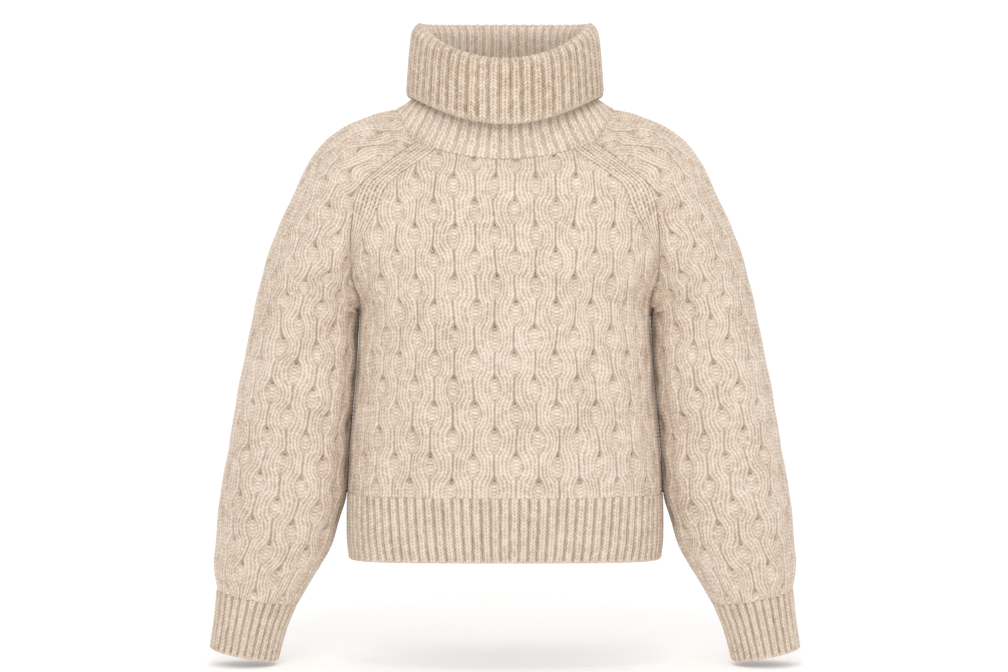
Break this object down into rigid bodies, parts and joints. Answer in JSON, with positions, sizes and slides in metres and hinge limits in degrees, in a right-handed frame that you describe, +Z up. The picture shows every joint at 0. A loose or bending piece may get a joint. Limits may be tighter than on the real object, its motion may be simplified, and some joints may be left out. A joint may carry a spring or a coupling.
{
  "type": "cable knit sweater",
  "caption": "Chunky cable knit raglan sweater with a folded rib neck, rib hem and rib cuffs, filled out as if worn.",
  "frame": {"origin": "middle of the neck opening, level with the shoulders at the neckline, where the wearer's neck and shoulders hold the sweater up", "axes": "+Z up, the front faces -Y, +X to the wearer's left"},
  "size_m": [0.6728, 0.226, 0.7393],
  "materials": {
    "cable_knit": "soft brushed wool, honeycomb cable knit",
    "rib_knit": "soft brushed wool, 1x1 rib knit"
  },
  "bodies": {
    "root": {"front_panel": "cable_knit", "back_panel": "cable_knit", "front_hem_rib": "rib_knit", "back_hem_rib": "rib_knit", "collar": "rib_knit", "left_sleeve": "cable_knit", "left_cuff": "rib_knit", "right_sleeve": "cable_knit", "right_cuff": "rib_knit"}
  },
  "joints": []
}
